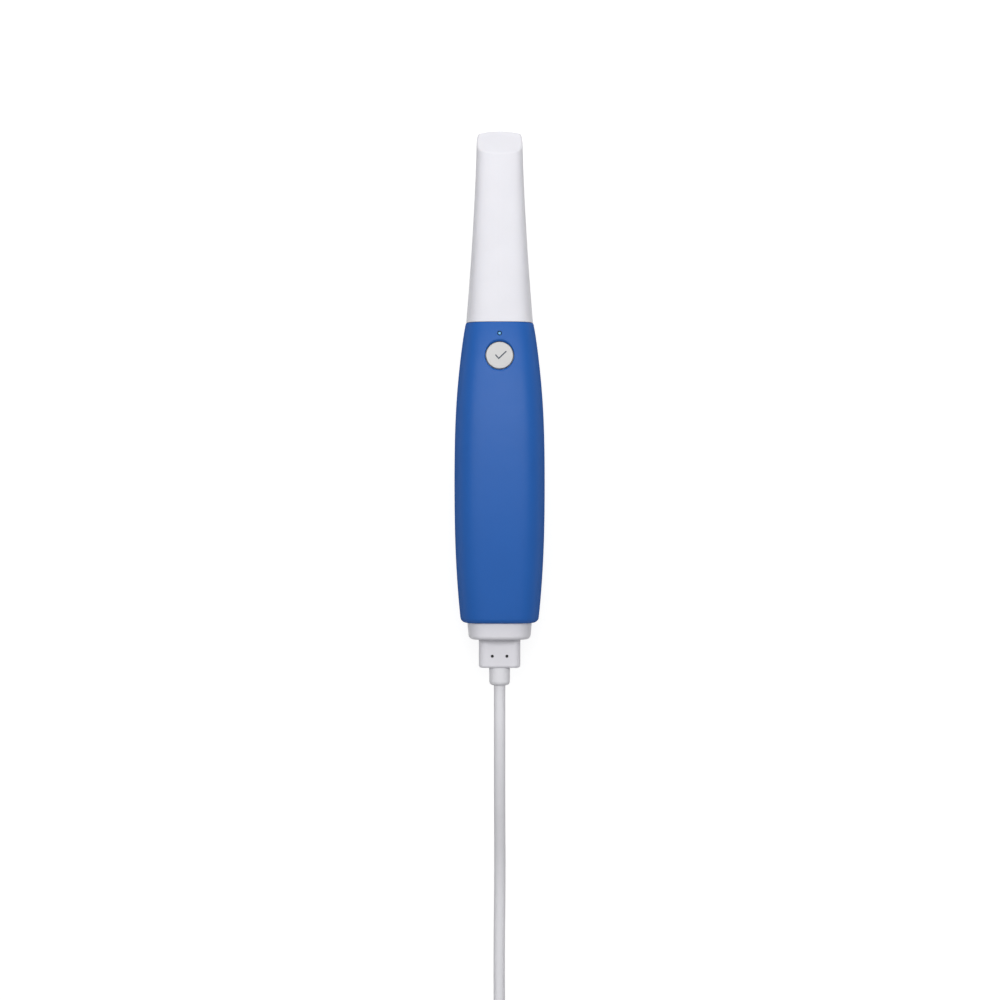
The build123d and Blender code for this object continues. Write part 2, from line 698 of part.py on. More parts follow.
parts["cord_lead"] = tube(lead_route)
band_half = 2 * cord_diameter
lobe = Circle(hank_fold_radius)
outline = Pos(hank_side, lobe_near) * lobe + Pos(hank_side, lobe_far) * lobe
outline = outline + Pos(hank_side, waist) * Rectangle(2 * band_half, lobe_near - lobe_far)
corners = outline.vertices().filter_by(lambda v: abs(v.X - hank_side) < 0.9 * hank_fold_radius)
outline = fillet(corners, hank_waist_fillet)
eye = Circle(hank_fold_radius - 2 * cord_diameter)
holes = Pos(hank_side, lobe_near) * eye + Pos(hank_side, lobe_far) * eye
hank_top = hank_layers * cord_diameter
hank = extrude(outline - holes, hank_top)
top_turn = outline - offset(outline, amount=-cord_diameter)
hank = hank + Pos(0, 0, hank_top) * extrude(top_turn, cord_diameter)
tie_top = hank_top + cord_diameter + tie_thickness
tie_place = Pos(hank_side, waist, (tie_top + tie_thickness) / 2)
tie = tie_place * Box(2 * (band_half + tie_thickness), tie_width, tie_top + tie_thickness)
tie = fillet(tie.edges().filter_by(Axis.Y), 2.5)
tie_hole = tie_place * Box(2 * band_half, tie_width, tie_top - tie_thickness)
tie = tie - fillet(tie_hole.edges().filter_by(Axis.Y), 1.5)
parts["cord_tie"] = tie
parts["cord_hank"] = hank - tie - parts["cord_lead"]
tail_x = hank_side + cord_radius
tail_z = hank_top + cord_radius
tail_start = lobe_near - 2 * cord_diameter
tail_end = waist - tie_width / 2 - tail_free
usb_front = tail_end - usb_relief_length


def along_tail(y, shape):
    """Sketch at a station of the tail, facing away from the wand."""
    return Plane(origin=(tail_x, y, tail_z), x_dir=(1, 0, 0), z_dir=(0, -1, 0)) * shape


parts["cord_tail"] = extrude(along_tail(tail_start, Circle(cord_radius)), tail_start - tail_end)
usb_relief = [along_tail(tail_end, Circle(cord_radius)), along_tail(usb_front, Circle(cord_radius - 0.05))]
parts["usb_relief"] = loft(usb_relief)
moulding = extrude(along_tail(usb_front, RectangleRounded(usb_width, cord_diameter, 2.2)), usb_length)
moulding_ends = moulding.edges().filter_by(GeomType.CIRCLE) + moulding.edges().filter_by(Axis.X)
parts["usb_moulding"] = fillet(moulding_ends, 0.5)
usb_rear = usb_front - usb_length
usb_outside = along_tail(usb_rear, RectangleRounded(usb_shell_width, usb_shell_height, 1.1))
usb_inside = along_tail(usb_rear, RectangleRounded(usb_shell_width - 0.6, usb_shell_height - 0.6, 0.8))
parts["usb_shell"] = extrude(usb_outside - usb_inside, usb_shell_length)

# Screws, one group for each place


def screw_along(y0, y1, x, w, size):
    """Screw with its head at y0 and its shank running to y1."""
    shank, head, height = size
    side = 1 if y0 > y1 else -1
    return rod(head, y0, y0 + side * height, x, w) + rod(shank, y0, y1, x, w)


def screw_upright(w0, w1, x, y, size):
    """Screw with its head at height w0 and its shank running to w1."""
    shank, head, height = size
    side = 1 if w0 > w1 else -1
    return post(head, w0, w0 + side * height, x, y) + post(shank, w0, w1, x, y)


nose_screws = [screw_along(web_front, block_front - 4.5, x, w, SMALL_SCREW) for x, w in nose_screw_places]
parts["nose_screws"] = Compound(children=nose_screws)
board_screws = []
for x in (-standoff_spread, standoff_spread):
    for y in standoffs:
        board_screws.append(screw_upright(board_bottom, plate_bottom - 0.3, x, y, SMALL_SCREW))
parts["board_screws"] = Compound(children=board_screws)
chassis_screws = []
for x in (-rib_screw_spread, rib_screw_spread):
    for station in (front_rib, rear_rib):
        middle = station + rib_thickness / 2
        chassis_screws.append(screw_upright(plate_top, plate_bottom - 5.5, x, middle, LARGE_SCREW))
parts["chassis_screws"] = Compound(children=chassis_screws)
shanks = switch_posts(SMALL_SCREW[0], board_back, -3.2)
heads = switch_posts(SMALL_SCREW[1], board_back - SMALL_SCREW[2], board_back)
parts["switch_board_screws"] = Compound(children=[shank + head for shank, head in zip(shanks, heads)])
cap_seat = cap_rear + 1.6
cap_screws = [screw_along(cap_seat, lug_back + 3.5, 0, s * cap_screw_height, LARGE_SCREW) for s in (-1, 1)]
parts["end_cap_screws"] = Compound(children=cap_screws)

os.makedirs("parts", exist_ok=True)
for name, shape in parts.items():
    export_step(shape, f"parts/{name}.step")
print("button normal", button.z_dir, "origin", button.origin)
print("cord exit", cord_exit, "axis height", axis_z, "hank", hank_near, lobe_near, lobe_far)
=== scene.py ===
"""Looks of an intraoral scanner: a dental wand on a white table, seen from straight above.

Lengths are in metres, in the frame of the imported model: +Y runs to the wand's tip and +Z is up.
Sizes that a maker would give in millimetres are written as a number times MM.
"""

import json
import logging
import math
from dataclasses import dataclass
from enum import Enum

import bmesh
import bpy
import numpy as np
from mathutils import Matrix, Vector

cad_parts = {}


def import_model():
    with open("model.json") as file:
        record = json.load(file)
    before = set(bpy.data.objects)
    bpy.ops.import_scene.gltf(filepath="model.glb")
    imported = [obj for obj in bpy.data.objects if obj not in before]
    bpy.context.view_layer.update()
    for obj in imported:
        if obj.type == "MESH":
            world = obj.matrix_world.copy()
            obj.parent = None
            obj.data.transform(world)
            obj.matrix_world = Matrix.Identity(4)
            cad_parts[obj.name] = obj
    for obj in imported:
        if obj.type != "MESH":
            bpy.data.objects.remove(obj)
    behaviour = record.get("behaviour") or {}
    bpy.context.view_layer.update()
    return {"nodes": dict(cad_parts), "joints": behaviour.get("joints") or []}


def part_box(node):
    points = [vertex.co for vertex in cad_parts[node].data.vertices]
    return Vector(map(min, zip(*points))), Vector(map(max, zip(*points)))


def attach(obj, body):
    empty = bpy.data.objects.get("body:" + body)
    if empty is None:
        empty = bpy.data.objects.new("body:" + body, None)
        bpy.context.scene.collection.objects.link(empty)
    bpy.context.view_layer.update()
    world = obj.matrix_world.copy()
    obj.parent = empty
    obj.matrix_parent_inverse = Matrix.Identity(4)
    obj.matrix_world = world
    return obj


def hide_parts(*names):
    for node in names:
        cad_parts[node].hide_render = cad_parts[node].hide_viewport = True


MM = 0.001
LOG = logging.getLogger("scanner")
Colour = tuple[float, float, float]
Point = tuple[float, float, float]
Span = tuple[float, float]
Socket = bpy.types.NodeSocket
Tree = bpy.types.NodeTree
Materials = dict[str, bpy.types.Material]

# Patterns that the finishes share
PATCH_SIZE = 14 * MM
PATCH_DETAIL = 3.0
PATCH_RAMP: Span = (0.35, 0.65)
SHEEN_SIZE = 6 * MM
SHEEN_DETAIL = 4.0
NOISE_RANGE: Span = (0.3, 0.7)
GRAIN_DETAIL = 2.0
BRUSH_STRETCH = 0.04
TRACK_GRAINS = 40
WEAVE_WAVES = 0.32
WEAVE_WANDER = 0.8
SMOOTHEST = 0.02
SOFT_TOUCH_BLEND = 0.25
COAT_ROUGHNESS = 0.12
SUBSURFACE_RADIUS = (1.0, 0.9, 0.8)
SUBSURFACE_SCALE = 1.2 * MM

# Middle of the status light, on the surface of the case
LIGHT_CENTRE: Point = (0.0, 23.88 * MM, 43.34 * MM)

# Contacts of the socket and the plugs
CONTACT_SETBACK = 0.6 * MM
CONTACT_RELIEF = 0.06 * MM
CONTACT_SHARE = 0.5
CONTACT_STATIONS = 14

# Meshes
MERGE_DISTANCE = 0.001 * MM
SHARP_ANGLE = math.radians(35)
BEAD_SIDES = 12


class Grain(Enum):
    """Fine surface pattern of a finish."""

    MOULDED = "moulded"
    POLISHED = "polished"
    BRUSHED = "brushed"
    WOVEN = "woven"
    BOARD = "board"
    CORED = "cored"


class Body(Enum):
    """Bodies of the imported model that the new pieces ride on."""

    HANDPIECE = "handpiece"
    BUTTON = "scan_button"
    CABLE = "cable"


@dataclass(frozen=True)
class Finish:
    """One finish of the scanner, with the sizes of its grain.

    The colour is the linear base colour. Tone is how far the colour swings between light and dark
    patches, sheen_swing how far the roughness does, grain_size the width of one grain and
    grain_depth how high it stands. Glow is the share of the colour that shines by itself, and core
    the middle of the lit spot in a cored finish.
    """

    slot: str
    colour: Colour
    roughness: float
    grain: Grain = Grain.MOULDED
    grain_size: float = 0.25 * MM
    grain_depth: float = 0.004 * MM
    tone: float = 0.03
    sheen_swing: float = 0.06
    metallic: float = 0.0
    specular: float = 0.5
    coat: float = 0.0
    transmission: float = 0.0
    ior: float = 1.46
    subsurface: float = 0.0
    glow: float = 0.0
    core: Point = (0.0, 0.0, 0.0)
    core_radius: float = 1.0 * MM
    soft_touch: bool = False

    def build(self) -> bpy.types.Material:
        """Make the material.

        Returns:
            The new material, with its pattern on Object coordinates.
        """
        material = bpy.data.materials.new("finish_" + self.slot)
        material.use_nodes = True
        tree = material.node_tree
        tree.nodes.clear()
        shader = tree.nodes.new("ShaderNodeBsdfPrincipled")
        output = tree.nodes.new("ShaderNodeOutputMaterial")
        tree.links.new(shader.outputs["BSDF"], output.inputs["Surface"])
        self._set_constants(shader)
        place = self._placed(tree)
        self._colour_patches(tree, shader, place)
        self._roughness_patches(tree, shader, place)
        self._relief(tree, shader, place)
        return material

    def _set_constants(self, shader: bpy.types.Node) -> None:
        """Set what is the same all over the surface on the shader's own sockets.

        Args:
            shader: The principled shader of this finish.
        """
        values = {
            "Metallic": self.metallic,
            "Specular IOR Level": self.specular,
            "Coat Weight": self.coat,
            "Coat Roughness": COAT_ROUGHNESS,
            "Transmission Weight": self.transmission,
            "IOR": self.ior,
            "Subsurface Weight": self.subsurface,
            "Subsurface Radius": SUBSURFACE_RADIUS,
            "Subsurface Scale": SUBSURFACE_SCALE,
            "Emission Strength": self.glow,
        }
        for name, value in values.items():
            shader.inputs[name].default_value = value

    def _placed(self, tree: Tree) -> Socket:
        """Object coordinates, drawn out along Y for a brushed finish.

        Args:
            tree: The node tree to add to.

        Returns:
            The socket that the patterns read their place from.
        """
        source = tree.nodes.new("ShaderNodeTexCoord")
        mapping = tree.nodes.new("ShaderNodeMapping")
        stretch = BRUSH_STRETCH if self.grain is Grain.BRUSHED else 1.0
        mapping.inputs["Scale"].default_value = (1.0, stretch, 1.0)
        tree.links.new(source.outputs["Object"], mapping.inputs["Vector"])
        return mapping.outputs["Vector"]

    @staticmethod
    def _noise(tree: Tree, place: Socket, size: float, detail: float) -> Socket:
        """Cloudy pattern.

        Args:
            tree: The node tree to add to.
            place: The coordinates to read.
            size: The width of one patch, in metres.
            detail: How many finer octaves lie on top.

        Returns:
            The pattern's value, from 0 to 1.
        """
        noise = tree.nodes.new("ShaderNodeTexNoise")
        noise.inputs["Scale"].default_value = 1.0 / size
        noise.inputs["Detail"].default_value = detail
        tree.links.new(place, noise.inputs["Vector"])
        return noise.outputs["Fac"]

    @staticmethod
    def _ranged(tree: Tree, value: Socket, low: float, high: float) -> Socket:
        """Stretch the range that a noise mostly keeps to, NOISE_RANGE, to new limits.

        Args:
            tree: The node tree to add to.
            value: The noise.
            low: The result at the lower end of its range.
            high: The result at the upper end.

        Returns:
            The stretched value.
        """
        ranged = tree.nodes.new("ShaderNodeMapRange")
        limits = zip(("From Min", "From Max", "To Min", "To Max"), (*NOISE_RANGE, low, high))
        for name, number in limits:
            ranged.inputs[name].default_value = number
        tree.links.new(value, ranged.inputs["Value"])
        return ranged.outputs["Result"]

    def _colour_patches(self, tree: Tree, shader: bpy.types.Node, place: Socket) -> None:
        """Let the colour swing between two tones.

        The swing follows soft patches, the tracks of a circuit board, the threads of a weave or the
        lit core.

        Args:
            tree: The node tree to add to.
            shader: The principled shader of this finish.
            place: The coordinates to read.
        """
        ramp = tree.nodes.new("ShaderNodeValToRGB")
        dark = tuple(c * (1 - self.tone) for c in self.colour)
        light = tuple(min(1.0, c * (1 + self.tone)) for c in self.colour)
        for element, position, colour in zip(ramp.color_ramp.elements, PATCH_RAMP, (dark, light)):
            element.position = position
            element.color = (*colour, 1.0)
        if self.grain is Grain.BOARD:
            tracks = tree.nodes.new("ShaderNodeTexBrick")
            tracks.inputs["Scale"].default_value = 1.0 / (TRACK_GRAINS * self.grain_size)
            tree.links.new(place, tracks.inputs["Vector"])
            swing = tracks.outputs["Fac"]
        elif self.grain is Grain.WOVEN:
            swing = self._weave(tree, place)
        elif self.grain is Grain.CORED:
            swing = self._lit_core(tree)
            tree.links.new(ramp.outputs["Color"], shader.inputs["Emission Color"])
        else:
            swing = self._noise(tree, place, PATCH_SIZE, PATCH_DETAIL)
        tree.links.new(swing, ramp.inputs["Fac"])
        tree.links.new(ramp.outputs["Color"], shader.inputs["Base Color"])

    def _lit_core(self, tree: Tree) -> Socket:
        """Round spot: 1 at the core, falling evenly to 0 at twice its radius.

        Args:
            tree: The node tree to add to.

        Returns:
            The spot's value, from 0 to 1.
        """
        source = tree.nodes.new("ShaderNodeTexCoord")
        centred = tree.nodes.new("ShaderNodeMapping")
        reach = 2 * self.core_radius
        centred.inputs["Location"].default_value = [-c / reach for c in self.core]
        centred.inputs["Scale"].default_value = [1 / reach] * 3
        spot = tree.nodes.new("ShaderNodeTexGradient")
        spot.gradient_type = "SPHERICAL"
        tree.links.new(source.outputs["Object"], centred.inputs["Vector"])
        tree.links.new(centred.outputs["Vector"], spot.inputs["Vector"])
        return spot.outputs["Fac"]

    def _roughness_patches(self, tree: Tree, shader: bpy.types.Node, place: Socket) -> None:
        """Let the roughness swing a little, as handled plastic and metal do.

        A soft-touch coating also gets rougher where the surface turns away, so that its edge
        shines less.

        Args:
            tree: The node tree to add to.
            shader: The principled shader of this finish.
            place: The coordinates to read.
        """
        cloud = self._noise(tree, place, SHEEN_SIZE, SHEEN_DETAIL)
        low = max(SMOOTHEST, self.roughness - self.sheen_swing)
        high = min(1.0, self.roughness + self.sheen_swing)
        roughness = self._ranged(tree, cloud, low, high)
        if self.soft_touch:
            facing = tree.nodes.new("ShaderNodeLayerWeight")
            facing.inputs["Blend"].default_value = SOFT_TOUCH_BLEND
            duller = tree.nodes.new("ShaderNodeMath")
            duller.operation = "ADD"
            tree.links.new(roughness, duller.inputs[0])
            tree.links.new(facing.outputs["Facing"], duller.inputs[1])
            roughness = duller.outputs["Value"]
        tree.links.new(roughness, shader.inputs["Roughness"])

    def _weave(self, tree: Tree, place: Socket) -> Socket:
        """Crossed threads: two sets of waves, square to each other, of which the higher one shows.

        Args:
            tree: The node tree to add to.
            place: The coordinates to read.

        Returns:
            The height of the threads, from 0 to 1.
        """
        higher = tree.nodes.new("ShaderNodeMath")
        higher.operation = "MAXIMUM"
        for number, direction in enumerate(("X", "Y")):
            wave = tree.nodes.new("ShaderNodeTexWave")
            wave.bands_direction = direction
            wave.inputs["Scale"].default_value = WEAVE_WAVES / self.grain_size
            wave.inputs["Distortion"].default_value = WEAVE_WANDER
            tree.links.new(place, wave.inputs["Vector"])
            tree.links.new(wave.outputs["Fac"], higher.inputs[number])
        return higher.outputs["Value"]

    def _relief(self, tree: Tree, shader: bpy.types.Node, place: Socket) -> None:
        """Raise the grain as a bump.

        Args:
            tree: The node tree to add to.
            shader: The principled shader of this finish.
            place: The coordinates to read.
        """
        if self.grain_depth == 0.0:
            return
        bump = tree.nodes.new("ShaderNodeBump")
        bump.inputs["Strength"].default_value = 1.0
        bump.inputs["Distance"].default_value = self.grain_depth
        if self.grain is Grain.WOVEN:
            height = self._weave(tree, place)
        else:
            height = self._noise(tree, place, self.grain_size, GRAIN_DETAIL)
        tree.links.new(height, bump.inputs["Height"])
        tree.links.new(bump.outputs["Normal"], shader.inputs["Normal"])


FINISHES = (
    Finish(
        "case_blue",
        (0.012, 0.100, 0.385),
        0.30,
        tone=0.01,
        sheen_swing=0.02,
        specular=0.25,
        soft_touch=True,
    ),
    Finish("tip_white", (0.72, 0.715, 0.755), 0.42, tone=0.01, specular=0.35, subsurface=0.15),
    Finish("collar_grey", (0.755, 0.745, 0.785), 0.45, tone=0.015, specular=0.3),
    Finish("button_grey", (0.575, 0.57, 0.565), 0.38, tone=0.02, specular=0.3),
    Finish("nose_black", (0.012, 0.012, 0.014), 0.5, grain_size=0.4 * MM),
    Finish(
        "glass",
        (0.92, 0.95, 0.95),
        0.03,
        Grain.POLISHED,
        grain_depth=0.0,
        transmission=1.0,
        ior=1.52,
    ),
    Finish(
        "mirror",
        (0.86, 0.87, 0.88),
        0.03,
        Grain.POLISHED,
        grain_depth=0.0,
        tone=0.01,
        metallic=1.0,
    ),
    Finish("aluminium", (0.55, 0.56, 0.57), 0.36, Grain.BRUSHED, 0.3 * MM, metallic=1.0),
    Finish("black_metal", (0.016, 0.016, 0.017), 0.42, Grain.BRUSHED, 0.3 * MM, metallic=0.6),
    Finish("board_green", (0.012, 0.085, 0.035), 0.4, Grain.BOARD, tone=0.5, coat=0.3),
    Finish("chip_black", (0.014, 0.014, 0.015), 0.55, grain_size=0.15 * MM),
    Finish("steel", (0.50, 0.50, 0.51), 0.25, Grain.BRUSHED, 0.2 * MM, metallic=1.0),
    Finish("seal_rubber", (0.02, 0.02, 0.021), 0.7, grain_size=0.3 * MM),
    Finish("pad_silicone", (0.5, 0.48, 0.45), 0.55, subsurface=0.3),
    Finish("ribbon_amber", (0.42, 0.17, 0.03), 0.3, Grain.POLISHED, tone=0.15, coat=0.4),
    Finish(
        "light_clear",
        (0.095, 0.26, 0.45),
        0.45,
        Grain.CORED,
        tone=0.72,
        specular=0.15,
        glow=0.1,
        core=LIGHT_CENTRE,
        core_radius=0.62 * MM,
    ),
    Finish("cord_grey", (0.775, 0.77, 0.80), 0.5, grain_size=0.5 * MM, tone=0.02, specular=0.3),
    Finish("tie_black", (0.02, 0.02, 0.022), 0.85, Grain.WOVEN, 0.8 * MM, 0.12 * MM, tone=0.45),
    Finish("button_sign", (0.020, 0.035, 0.055), 0.5, tone=0.05),
    Finish("contact_gold", (0.80, 0.56, 0.22), 0.24, Grain.BRUSHED, 0.2 * MM, metallic=1.0),
)


def grid_object(name: str, points: np.ndarray, close_columns: bool = False) -> bpy.types.Object:
    """Join a grid of points to a mesh of quads.

    Args:
        name: The object's name.
        points: Rows by columns by three, or several such grids one after another.
        close_columns: Join the last column to the first.

    Returns:
        The object, linked to the scene, with smooth faces that point outwards.
    """
    sheets = points.reshape(-1, *points.shape[-3:])
    count, rows, columns = sheets.shape[:3]
    index = np.arange(count * rows * columns).reshape(count, rows, columns)
    if close_columns:
        index = np.concatenate([index, index[:, :, :1]], axis=2)
    corners = [index[:, :-1, :-1], index[:, 1:, :-1], index[:, 1:, 1:], index[:, :-1, 1:]]
    quads = np.stack(corners, axis=-1).reshape(-1, 4)
    mesh = bpy.data.meshes.new(name)
    mesh.from_pydata(sheets.reshape(-1, 3), [], quads)
    work = bmesh.new()
    work.from_mesh(mesh)
    bmesh.ops.remove_doubles(work, verts=work.verts, dist=MERGE_DISTANCE)
    bmesh.ops.recalc_face_normals(work, faces=work.faces)
    work.to_mesh(mesh)
    work.free()
    mesh.polygons.foreach_set("use_smooth", np.ones(len(mesh.polygons), bool))
    mesh.set_sharp_from_angle(angle=SHARP_ANGLE)
    piece = bpy.data.objects.new(name, mesh)
    bpy.context.scene.collection.objects.link(piece)
    return piece


def dress(
    piece: bpy.types.Object, material: bpy.types.Material, body: Body, slot: str, *nodes: str
) -> None:
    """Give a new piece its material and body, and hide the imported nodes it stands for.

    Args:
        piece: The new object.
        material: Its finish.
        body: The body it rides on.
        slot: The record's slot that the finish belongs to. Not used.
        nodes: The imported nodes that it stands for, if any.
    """
    piece.data.materials.append(material)
    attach(piece, body.value)
    if nodes:
        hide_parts(*nodes)
    LOG.info("%s rides on %s", piece.name, body.value)


def smooth_step(share: np.ndarray) -> np.ndarray:
    """Smooth step from 0 to 1: three times the square of the share less twice its cube.

    Args:
        share: How far along the step each point lies. Points beyond its ends keep to them.

    Returns:
        The height of the step at each point.
    """
    share = np.clip(share, 0, 1)
    return share * share * (3 - 2 * share)


def bead(
    path: np.ndarray, sides: np.ndarray, half_width: float, height: float, up: np.ndarray
) -> np.ndarray:
    """Closed bead along a line: a flattened ring carried along it, closing to a point at both ends.

    Within half a width of an end, the ring's size follows a quarter circle.

    Args:
        path: Points of the line, rows by three.
        sides: The way across at each point, rows by three.
        half_width: Half the width of the bead.
        height: How far it stands above and below the line.
        up: The way up at each point, rows by three.

    Returns:
        A grid of points, rows by ring.
    """
    ring = np.linspace(0, 2 * np.pi, BEAD_SIDES, endpoint=False)
    steps = np.linalg.norm(np.diff(path, axis=0), axis=1)
    along = np.concatenate([[0.0], np.cumsum(steps)])
    to_end = np.minimum(along, along[-1] - along)
    share = np.clip(to_end / half_width, 0, 1)
    swell = np.sqrt(1 - (1 - share) ** 2)[:, None, None]
    across = np.cos(ring)[None, :, None] * sides[:, None, :] * half_width
    rise = np.sin(ring)[None, :, None] * up[:, None, :] * height
    return path[:, None, :] + (across + rise) * swell


def contact_rows(span: Span, run: Span, heights: tuple[float, ...], count: int) -> np.ndarray:
    """Rows of contacts along Y: at each height, evenly spaced flat beads.

    The width of a bead is the pitch times CONTACT_SHARE.

    Args:
        span: Where the row starts and ends in X.
        run: Where each contact starts and ends in Y.
        heights: The Z of each row.
        count: Contacts in a row.

    Returns:
        One grid of points for each contact.
    """
    pitch = (span[1] - span[0]) / count
    half_width = CONTACT_SHARE * pitch / 2
    stations = np.linspace(*run, CONTACT_STATIONS)
    rows = np.ones_like(stations)
    sides = np.outer(rows, [1.0, 0.0, 0.0])
    up = np.outer(rows, [0.0, 0.0, 1.0])
    strips = []
    for z in heights:
        for x in span[0] + pitch * (np.arange(count) + 0.5):
            line = np.stack([x * rows, stations, z * rows], axis=-1)
            strips.append(bead(line, sides, half_width, CONTACT_RELIEF, up))
    return np.stack(strips)


@dataclass
class Wand:
    """New pieces of the handpiece: the end cap's socket screws and the socket's contacts.

    The recess of a screw has a small corner at its floor, and a lip of recess_lip that opens by
    recess_lead. floor_ring is a ring on its floor, as a share of the recess. The point of the screw
    narrows to point_width at point_rise above its end, both as shares of the shank's radius.
    """

    materials: Materials
    head_radius: float = 1.8 * MM
    head_height: float = 1.2 * MM
    head_round: float = 0.18 * MM
    shank_radius: float = 1.0 * MM
    thread_pitch: float = 0.5 * MM
    thread_depth: float = 0.12 * MM
    recess_radius: float = 0.85 * MM
    recess_depth: float = 0.8 * MM
    recess_corner: float = 0.02 * MM
    recess_lip: float = 0.05 * MM
    recess_lead: float = 0.06 * MM
    floor_ring: float = 0.6
    point_width: float = 0.5
    point_rise: float = 0.4
    ring_points: int = 48
    round_rings: int = 5
    shank_rings: int = 60
    contact_count: int = 9
    contact_length: float = 7.5 * MM

    def build(self) -> None:
        """Make every new piece of the handpiece."""
        self.cap_screws()
        self.socket_contacts()

    def screw_profile(self, length: float) -> np.ndarray:
        """Socket screw along its own axis, as radii over rings and angles.

        The rings run from the floor of the six-sided recess, up its wall, over the rounded head,
        down its side and along a threaded shank to the point. In the recess the radius follows a
        hexagon: the flat distance over the cosine of the angle from the middle of the nearest flat.
        On the shank it swings with the cosine of the turn along the pitch.

        Args:
            length: From the seat under the head to the point.

        Returns:
            A grid of points, rings by angles, with the head above the seat and the axis along Z.
        """
        angle = np.linspace(0, 2 * np.pi, self.ring_points, endpoint=False)
        plain = np.ones_like(angle)
        hexagon = 1 / np.cos((angle + np.pi / 6) % (np.pi / 3) - np.pi / 6)
        flat = self.recess_radius * np.cos(np.pi / 6)
        top = self.head_height
        floor = top - self.recess_depth
        turn = np.linspace(0, np.pi / 2, self.round_rings)
        round_radius = self.head_radius - self.head_round + self.head_round * np.sin(turn)
        round_height = top - self.head_round + self.head_round * np.cos(turn)
        shank = np.linspace(0, length - self.shank_radius, self.shank_rings)
        swing = 2 * np.pi * shank[:, None] / self.thread_pitch + angle[None, :]
        thread = self.shank_radius - self.thread_depth * (0.5 + 0.5 * np.cos(swing))
        point = self.point_width * self.shank_radius * plain
        rings = [
            (0.0 * plain, floor),
            (flat * self.floor_ring * hexagon, floor),
            (flat * hexagon, floor),
            (flat * hexagon, floor + self.recess_corner),
            (flat * hexagon, top - self.recess_lip),
            ((flat + self.recess_lead) * hexagon, top),
            *((radius * plain, height) for radius, height in zip(round_radius, round_height)),
            (self.head_radius * plain, 0.0),
            (self.shank_radius * plain, 0.0),
            *((row, -depth) for row, depth in zip(thread, shank)),
            (point, self.point_rise * self.shank_radius - length),
            (0.0 * plain, -length),
        ]
        radius = np.stack([row for row, _ in rings])
        height = np.array([level for _, level in rings])[:, None] + 0.0 * radius
        return np.stack([radius * np.cos(angle), radius * np.sin(angle), height], axis=-1)

    def cap_screws(self) -> None:
        """Two socket screws in the end cap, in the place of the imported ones."""
        low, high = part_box("end_cap_screws")
        seat = low.y + self.head_height
        screw = self.screw_profile(high.y - seat)
        turned = np.stack([screw[..., 0], seat - screw[..., 2], screw[..., 1]], axis=-1)
        heights = np.array([low.z + self.head_radius, high.z - self.head_radius])
        pair = turned[None] + heights[:, None, None, None] * np.array([0.0, 0.0, 1.0])
        piece = grid_object("end_cap_socket_screws", pair, close_columns=True)
        dress(piece, self.materials["steel"], Body.HANDPIECE, "steel", "end_cap_screws")

    def socket_contacts(self) -> None:
        """Rows of contacts on both faces of the socket's tongue."""
        low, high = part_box("socket_tongue")
        start = low.y + CONTACT_SETBACK
        run = (start, start + self.contact_length)
        grid = contact_rows((low.x, high.x), run, (low.z, high.z), self.contact_count)
        piece = grid_object("socket_contacts", grid, close_columns=True)
        dress(piece, self.materials["contact_gold"], Body.HANDPIECE, "steel")


@dataclass
class ScanButton:
    """The sign on the scan button, which follows the cap's dome.

    The origin is the top of the dome. The corners of the sign are in millimetres from there, to the
    right and to the tip.
    """

    materials: Materials
    press_axis: Point
    origin: Point = (0.0, 13.25 * MM, 44.5745 * MM)
    dome_radius: float = 60.0 * MM
    stroke: float = 0.58 * MM
    relief: float = 0.05 * MM
    corners: tuple[tuple[float, float], ...] = ((-2.05, 0.25), (-0.45, -1.65), (3.35, 1.95))
    stroke_points: int = 25

    def build(self) -> None:
        """Raise the tick sign as one closed bead on the dome.

        A point of the sign lies lower than the top of the dome by the dome's radius less the root
        of that radius squared less the distance squared.
        """
        flat, across = self.stroke_line()
        drop = self.dome_radius - np.sqrt(self.dome_radius**2 - np.sum(flat**2, axis=1))
        normal = -np.array(self.press_axis)
        forward = np.array([0.0, normal[2], -normal[1]])
        right = np.array([1.0, 0.0, 0.0])
        line = np.array(self.origin) + np.outer(flat[:, 0], right) + np.outer(flat[:, 1], forward)
        line = line - np.outer(drop, normal)
        sides = np.outer(across[:, 0], right) + np.outer(across[:, 1], forward)
        up = np.outer(np.ones(len(flat)), normal)
        grid = bead(line, sides, self.stroke / 2, self.relief, up)
        sign = grid_object("button_sign", grid, close_columns=True)
        dress(sign, self.materials["button_sign"], Body.BUTTON, "button_grey")

    def stroke_line(self) -> tuple[np.ndarray, np.ndarray]:
        """Line of the sign in the plane of the cap, with the mitred way across at each point.

        Returns:
            The points and the ways across, rows by two.
        """
        corners = np.array(self.corners) * MM
        runs = np.diff(corners, axis=0)
        normals = np.stack([-runs[:, 1], runs[:, 0]], axis=-1)
        normals /= np.linalg.norm(normals, axis=1)[:, None]
        mitre = normals[0] + normals[1]
        mitre /= mitre @ normals[0]
        share = np.linspace(0, 1, self.stroke_points)[:, None]
        first = corners[0] + share * runs[0]
        second = corners[1] + share[1:] * runs[1]
        across_first = normals[0] + share * (mitre - normals[0])
        across_second = mitre + share[1:] * (normals[1] - mitre)
        return np.vstack([first, second]), np.vstack([across_first, across_second])


